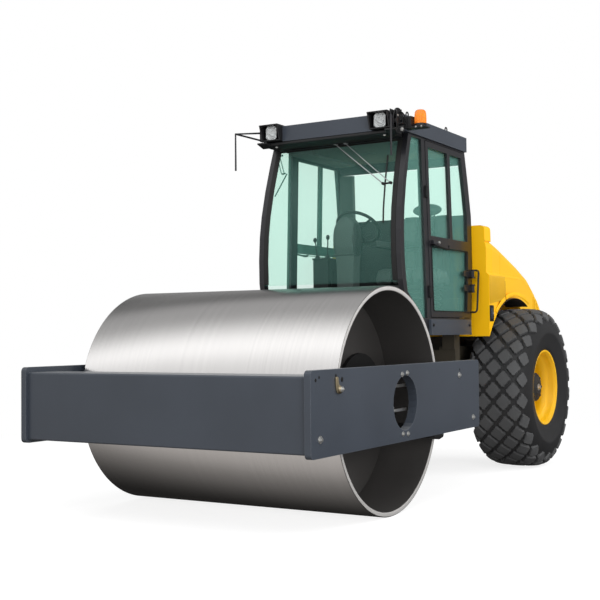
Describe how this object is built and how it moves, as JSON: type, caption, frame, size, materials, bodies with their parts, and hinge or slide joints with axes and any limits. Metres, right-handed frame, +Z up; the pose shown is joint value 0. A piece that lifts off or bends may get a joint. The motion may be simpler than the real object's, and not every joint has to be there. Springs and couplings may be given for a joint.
{
  "type": "single-drum road roller",
  "caption": "Articulated single-drum road roller: smooth steel drum in a plate frame, closed cab, tilting engine hood and two wide rubber tyres.",
  "frame": {"origin": "on the ground, under the middle of the machine's length and width", "axes": "+Z up; the drum end faces -Y; the machine's own left side is +X"},
  "size_m": [2.35, 5.95, 3.065],
  "materials": {
    "drum_steel": "turned steel, brushed round the drum",
    "frame_paint": "dark blue-grey semi-gloss paint",
    "cab_paint": "black semi-gloss paint",
    "black_paint": "black satin paint",
    "body_paint": "yellow gloss paint",
    "rim_paint": "yellow gloss paint",
    "pin_steel": "ground steel",
    "engine_iron": "painted iron",
    "tyre_rubber": "black rubber",
    "cab_glass": "green-tinted glass",
    "lamp_lens": "clear lens over a reflector",
    "amber_lens": "amber lens",
    "black_plastic": "black moulded plastic",
    "console_plastic": "dark grey moulded plastic",
    "seat_vinyl": "dark grey vinyl over foam"
  },
  "bodies": {
    "rear_frame": {"rear_chassis": "frame_paint", "rear_axle": "black_paint", "engine": "engine_iron", "rear_bumper": "frame_paint", "cab_floor": "frame_paint", "cab_frame": "cab_paint", "windscreen": "cab_glass", "rear_window": "cab_glass", "quarter_glass_left": "cab_glass", "quarter_glass_right": "cab_glass", "roof": "frame_paint", "lamp_housing_left": "black_plastic", "lamp_housing_right": "black_plastic", "work_lamp_left": "lamp_lens", "work_lamp_right": "lamp_lens", "mirror_arm_left": "black_paint", "mirror_arm_right": "black_paint", "beacon_bracket": "black_plastic", "beacon": "amber_lens", "seat": "seat_vinyl", "console": "console_plastic", "steering_wheel": "black_plastic", "cowl": "body_paint", "handrail_left": "black_paint", "handrail_right": "black_paint"},
    "front_frame": {"frame_side_left": "frame_paint", "frame_side_right": "frame_paint", "front_beam": "frame_paint", "frame_yoke": "frame_paint", "centre_pin": "pin_steel", "drum_carrier_left": "black_paint", "drum_carrier_right": "black_paint", "scraper_front": "black_paint", "scraper_rear": "black_paint"},
    "drum": {"drum_shell": "drum_steel", "drum_head_left": "black_paint", "drum_head_right": "black_paint"},
    "wheel_left": {"tyre_left": "tyre_rubber", "rim_left": "rim_paint"},
    "wheel_right": {"tyre_right": "tyre_rubber", "rim_right": "rim_paint"},
    "door_left": {"door_left": "cab_paint", "door_glass_left": "cab_glass"},
    "door_right": {"door_right": "cab_paint", "door_glass_right": "cab_glass"},
    "hood": {"hood": "body_paint", "hood_side_left": "body_paint", "hood_side_right": "body_paint", "hood_tail": "body_paint", "hood_grille": "black_paint", "hood_hinge_left": "black_paint", "hood_hinge_right": "black_paint"},
    "barrel_left": {"cylinder_barrel_left": "black_paint"},
    "barrel_right": {"cylinder_barrel_right": "black_paint"},
    "rod_left": {"cylinder_rod_left": "pin_steel"},
    "rod_right": {"cylinder_rod_right": "pin_steel"}
  },
  "joints": [
    {"name": "steering", "type": "hinge", "parent": "rear_frame", "child": "front_frame", "pos_m": [0, -0.085, 0.79], "axis": [0, 0, 1], "range_deg": [-35, 35]},
    {"name": "drum_roll", "type": "hinge", "parent": "front_frame", "child": "drum", "pos_m": [0, -1.685, 0.8], "axis": [1, 0, 0], "continuous": true},
    {"name": "wheel_left_roll", "type": "hinge", "parent": "rear_frame", "child": "wheel_left", "pos_m": [0.86, 1.515, 0.745], "axis": [1, 0, 0], "continuous": true},
    {"name": "wheel_right_roll", "type": "hinge", "parent": "rear_frame", "child": "wheel_right", "pos_m": [-0.86, 1.515, 0.745], "axis": [1, 0, 0], "continuous": true},
    {"name": "door_left_swing", "type": "hinge", "parent": "rear_frame", "child": "door_left", "pos_m": [0.712, 0.715, 2.1], "axis": [0, 0, 1], "range_deg": [0, 90]},
    {"name": "door_right_swing", "type": "hinge", "parent": "rear_frame", "child": "door_right", "pos_m": [-0.712, 0.715, 2.1], "axis": [0, 0, -1], "range_deg": [0, 90]},
    {"name": "hood_tilt", "type": "hinge", "parent": "rear_frame", "child": "hood", "pos_m": [0, 1.238, 2.142], "axis": [1, 0, 0], "range_deg": [0, 60]},
    {"name": "barrel_left_swing", "type": "hinge", "parent": "rear_frame", "child": "barrel_left", "pos_m": [0.25, 0.565, 0.788], "axis": [0, 0, 1], "range_deg": [-6, 6]},
    {"name": "barrel_right_swing", "type": "hinge", "parent": "rear_frame", "child": "barrel_right", "pos_m": [-0.25, 0.565, 0.788], "axis": [0, 0, 1], "range_deg": [-6, 6]},
    {"name": "rod_left_slide", "type": "slide", "parent": "barrel_left", "child": "rod_left", "axis": [0.0648, -0.9979, 0], "range_m": [-0.18, 0.18]},
    {"name": "rod_right_slide", "type": "slide", "parent": "barrel_right", "child": "rod_right", "axis": [-0.0648, -0.9979, 0], "range_m": [-0.18, 0.18]}
  ],
  "couplings": [
    {"joint": "barrel_left_swing", "follows": "steering", "ratio": 0.156},
    {"joint": "barrel_right_swing", "follows": "steering", "ratio": 0.156},
    {"joint": "rod_left_slide", "follows": "steering", "m_per_rad": -0.281},
    {"joint": "rod_right_slide", "follows": "steering", "m_per_rad": 0.281}
  ]
}
